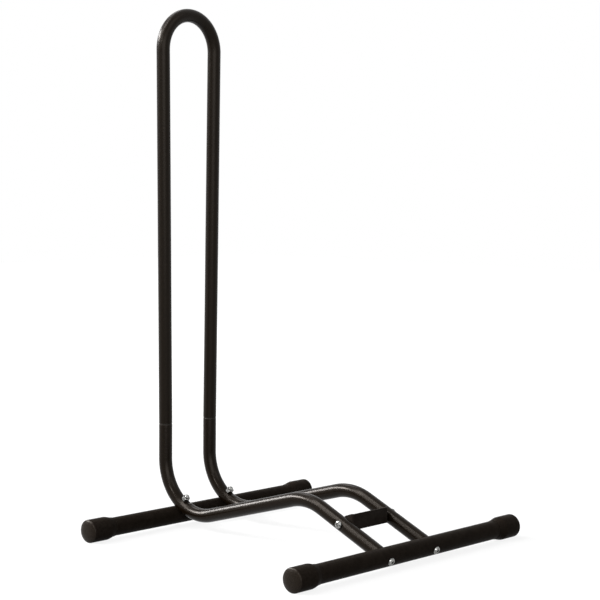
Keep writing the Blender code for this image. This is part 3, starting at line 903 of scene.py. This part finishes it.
def bridge_fastening(side, hand):
    """Bolt through a side tube and a flange. Returns where its hole goes, and how deep."""
    place = bridge_bolt_place()
    inward = Vector((-hand, 0, 0))
    seat = Vector((SLOT_OFFSET + hand * bridge_seat_x(), *place))
    under_head = seat - inward * SEAT_GAP
    flange_x = bracket_flange_x() - BRACKET_THICKNESS - SEAT_GAP
    nut_seat = Vector((SLOT_OFFSET + hand * flange_x, *place))
    reach = (nut_seat - under_head).length + NUT_HEIGHT + THREAD_OUT
    bolt(f"bridge_bolt_{side}", reach, along(under_head, inward))
    nut(f"bridge_nut_{side}", along(nut_seat, inward))
    return along(seat, inward), reach


# Bridge bracket


def bracket_flange_x():
    """Distance of a flange's outer face from the slot's middle plane."""
    return side_x(bridge_bolt_place().x + BRACKET_EAR_R) - TUBE_R - SEAT_GAP


def bracket_edge():
    """Profile of the strap's edge, rounded on both sides.

    Each point is (depth from the outer face, how far the edge is drawn in there).
    """
    outer = [(BRACKET_EDGE * (1 - cos(angle)), BRACKET_EDGE * (1 - sin(angle))) for angle in arc()]
    return outer + [(BRACKET_THICKNESS - depth, inset) for depth, inset in reversed(outer)]


def bracket_outline():
    """Outline of a flange about the bolt's axis, in (y, z).

    It goes from the ear's tip round to where the straight edges leave it, and on to where the bend
    starts. Each entry is the upper edge's (point, outward direction) and the lower edge's, which is
    given upside down.
    """
    bend_offset = BRACKET_BEND + BRACKET_THICKNESS - BRACKET_SETBACK
    sides = []
    for corner_z in (BRACKET_HEIGHT / 2 + BRACKET_LIFT, BRACKET_HEIGHT / 2 - BRACKET_LIFT):
        corner = Vector((bend_offset, corner_z))
        touch = atan2(corner.y, corner.x) - acos(BRACKET_EAR_R / corner.length)
        side = []
        for i in range(EAR_STEPS + 1):
            angle = touch * (i / EAR_STEPS)
            outward = Vector((cos(angle), sin(angle)))
            side.append((BRACKET_EAR_R * outward, outward))
        side.append((corner, Vector((0, 1))))
        sides.append(side)
    return list(zip(*sides))


def bracket_sections():
    """Sections of the strap's right half, from the flange's tip to the web.

    Each is (inward normal, upper edge, lower edge). An edge is (point, outward direction), and its
    point lies on the strap's outer face.
    """
    bolt_y = bridge_bolt_place().x
    outer_x = bracket_flange_x()
    sections = []
    for edges in bracket_outline():
        placed = []
        for (point, outward), sign in zip(edges, (1, -1)):
            outer = Vector((outer_x, bolt_y + point.x, sign * point.y))
            placed.append((outer, Vector((0, outward.x, sign * outward.y))))
        sections.append((Vector((-1, 0, 0)), *placed))
    bend = BRACKET_BEND + BRACKET_THICKNESS
    middle = Vector((outer_x - bend, bolt_y - BRACKET_SETBACK + bend, BRACKET_LIFT))
    rise = BRACKET_HEIGHT / 2 * UP
    for angle in arc()[1:]:
        normal = Vector((-cos(angle), sin(angle), 0))
        outer = middle - bend * normal
        sections.append((normal, (outer + rise, UP), (outer - rise, -UP)))
    return sections


def bracket_ring(normal, upper, lower):
    """Section of the strap, with both edges rounded."""
    ring = []
    for (point, outward), profile in ((upper, bracket_edge()), (lower, bracket_edge()[::-1])):
        ring += [point - outward * inset + normal * depth for depth, inset in profile]
    return ring


def bridge_bracket(cutters):
    """U-shaped strap between the falling straights, with rounded edges and flanges."""
    middle = Vector((SLOT_OFFSET, 0, bridge_bolt_place().y))
    right = [bracket_ring(*section) for section in bracket_sections()]
    left = [[Vector((-point.x, *point.yz)) for point in ring] for ring in reversed(right)]
    bm = bmesh.new()
    rows = [[bm.verts.new(middle + point) for point in ring] for ring in right + left]
    skin(bm, rows)
    bmesh.ops.remove_doubles(bm, verts=rows[0] + rows[-1], dist=TINY)
    made = finished(bm, "bridge_bracket", "base", BRACKET_LIT_COAT)
    cut(made, cutters)


def build_pieces():
    """Every fine piece. The two plugs keep their solids and only get a finish."""
    upper_hoop()
    holes = {}
    for side, hand in (("left", -1), ("right", 1)):
        holes[side] = {
            "rear": rear_fastening(side, hand),
            "front": front_fastening(side, hand),
            "bridge": bridge_fastening(side, hand),
        }
        rear_hole = bolt_cutter(*holes[side]["rear"], BAR_R)
        bridge_hole = bolt_cutter(*holes[side]["bridge"], TUBE_R)
        side_tube(side, hand, [rear_hole, bridge_hole])
        for place in ("front", "rear"):
            end_cap(place, side, hand)
    for place, spread in (("front", FRONT_SPREAD), ("rear", LEG_SPREAD)):
        bolts_at = [SLOT_OFFSET - spread / 2, SLOT_OFFSET + spread / 2]
        crossbar(place, bolts_at, [bolt_cutter(*holes[side][place], BAR_R) for side in holes])
    bridge_bracket([bolt_cutter(*holes[side]["bridge"], TUBE_R) for side in holes])
    for node in ("front_plug_left", "front_plug_right"):
        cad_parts[node].material_slots[0].material = STEEL


# Floor, light and camera

WHITE = (1.0, 1.0, 1.0, 1.0)

# The floor's glow is a little under white about the stand, and white from the fade's end on
FLOOR_SIZE = 12.0
FLOOR_DROP = 0.0001
FLOOR_GLOW = 0.86
FLOOR_COLOUR = (0.12, 0.12, 0.12, 1.0)
FADE_START = 0.5
FADE_END = 2.5

# Light. Each lamp is (name, azimuth and elevation in degrees, width, height, radiance).
AMBIENT = 0.08
LIGHT_CENTRE = Vector((0.0, 0.0, 0.2))
LAMP_DISTANCE = 6.0
LAMPS = (
    ("key", -154, 28, 5.2, 0.90, 47.0),
    ("shoulder", -142, 33, 1.7, 1.1, 46.0),
    ("top", -118, 50, 1.4, 5.8, 17.0),
    ("side", 155, 48, 2.0, 1.8, 4.0),
    ("kicker", -80, 30, 1.2, 1.2, 20.0),
    ("fill", -38, 16, 5.8, 4.0, 3.2),
    ("front", 5, 44, 4.0, 3.0, 1.7),
    ("overhead", -160, 68, 2.6, 2.6, 2.0),
)

# Camera. The lens and the sensor's width are in millimetres.
CAMERA_PLACE = Vector((-1.6917, -1.5499, 0.5008))
CAMERA_AZIMUTH = radians(-47.5963)
CAMERA_PITCH = radians(4.2138)
CAMERA_ROLL = radians(0.4516)
CAMERA_LENS = 101.013
SENSOR_WIDTH = 36.0


def direction(azimuth, elevation):
    """Unit vector towards an azimuth and an elevation.

    Azimuth 0 is towards -Y, and +X is at 90 degrees.
    """
    level = cos(elevation)
    return Vector((sin(azimuth) * level, -cos(azimuth) * level, sin(elevation)))


def seen_rays(nodes, links):
    """1 for rays from the camera, and for those that gloss and glass send on, else 0."""
    path = nodes.new("ShaderNodeLightPath")
    value = path.outputs["Is Camera Ray"]
    for name in ("Is Glossy Ray", "Is Transmission Ray"):
        larger = nodes.new("ShaderNodeMath")
        larger.operation = "MAXIMUM"
        links.new(value, larger.inputs[0])
        links.new(path.outputs[name], larger.inputs[1])
        value = larger.outputs["Value"]
    return value


def studio_world():
    """White where it is seen, and a dim even light elsewhere."""
    world = bpy.data.worlds.new("studio")
    world.use_nodes = True
    nodes, links = world.node_tree.nodes, world.node_tree.links
    dim = nodes["Background"]
    dim.inputs["Color"].default_value = WHITE
    dim.inputs["Strength"].default_value = AMBIENT
    white = nodes.new("ShaderNodeBackground")
    white.inputs["Color"].default_value = WHITE
    white.inputs["Strength"].default_value = 1.0
    mix = nodes.new("ShaderNodeMixShader")
    links.new(seen_rays(nodes, links), mix.inputs["Fac"])
    links.new(dim.outputs["Background"], mix.inputs[1])
    links.new(white.outputs["Background"], mix.inputs[2])
    links.new(mix.outputs["Shader"], nodes["World Output"].inputs["Surface"])
    bpy.context.scene.world = world


def floor_material():
    """Pale material. Most of its white is its own glow, and the rest is lit, so a shadow shows.

    The glow is seen by the camera and in gloss, and lights nothing.
    """
    material = bpy.data.materials.new("floor")
    material.use_nodes = True
    nodes, links = material.node_tree.nodes, material.node_tree.links
    nodes.clear()
    lit = nodes.new("ShaderNodeBsdfDiffuse")
    lit.inputs["Color"].default_value = FLOOR_COLOUR
    glow = nodes.new("ShaderNodeEmission")
    distance = nodes.new("ShaderNodeVectorMath")
    distance.operation = "LENGTH"
    links.new(nodes.new("ShaderNodeTexCoord").outputs["Object"], distance.inputs[0])
    fade = nodes.new("ShaderNodeMapRange")
    fade.inputs["From Min"].default_value = FADE_START
    fade.inputs["From Max"].default_value = FADE_END
    fade.inputs["To Min"].default_value = FLOOR_GLOW
    links.new(distance.outputs["Value"], fade.inputs["Value"])
    strength = nodes.new("ShaderNodeMath")
    strength.operation = "MULTIPLY"
    links.new(fade.outputs["Result"], strength.inputs[1])
    links.new(seen_rays(nodes, links), strength.inputs[0])
    links.new(strength.outputs["Value"], glow.inputs["Strength"])
    both = nodes.new("ShaderNodeAddShader")
    links.new(lit.outputs["BSDF"], both.inputs[0])
    links.new(glow.outputs["Emission"], both.inputs[1])
    output = nodes.new("ShaderNodeOutputMaterial")
    links.new(both.outputs["Shader"], output.inputs["Surface"])
    return material


def studio_floor():
    """Square floor, just under the stand's feet."""
    half = FLOOR_SIZE / 2
    mesh = bpy.data.meshes.new("floor")
    corners = [(-half, -half), (half, -half), (half, half), (-half, half)]
    mesh.from_pydata([(x, y, -FLOOR_DROP) for x, y in corners], [], [range(len(corners))])
    mesh.materials.append(floor_material())
    floor = bpy.data.objects.new("floor", mesh)
    bpy.context.scene.collection.objects.link(floor)


def softbox(name, azimuth, elevation, width, height, radiance):
    """Oval lamp that faces the stand. Its radiance is its face's brightness, where 1 is white."""
    lamp = bpy.data.lights.new(name, "AREA")
    lamp.shape = "ELLIPSE"
    lamp.size = width
    lamp.size_y = height
    area = pi / 4 * width * height
    lamp.energy = pi * radiance * area
    made = bpy.data.objects.new(name, lamp)
    back = direction(radians(azimuth), radians(elevation))
    made.location = LIGHT_CENTRE + back * LAMP_DISTANCE
    made.rotation_mode = "QUATERNION"
    made.rotation_quaternion = back.to_track_quat("Z", "Y")
    bpy.context.scene.collection.objects.link(made)


def camera():
    """Camera at the photograph's place and angle."""
    data = bpy.data.cameras.new("camera")
    data.lens = CAMERA_LENS
    data.sensor_width = SENSOR_WIDTH
    made = bpy.data.objects.new("camera", data)
    back = direction(CAMERA_AZIMUTH, CAMERA_PITCH)
    right = UP.cross(back).normalized()
    up = back.cross(right)
    level = Matrix((right, up, back)).transposed()
    turn = level @ Matrix.Rotation(CAMERA_ROLL, 3, "Z")
    made.matrix_world = Matrix.Translation(CAMERA_PLACE) @ turn.to_4x4()
    bpy.context.scene.collection.objects.link(made)
    bpy.context.scene.camera = made


build_pieces()
studio_world()
studio_floor()
for lamp in LAMPS:
    softbox(*lamp)
camera()
bpy.context.scene.view_settings.view_transform = "Standard"
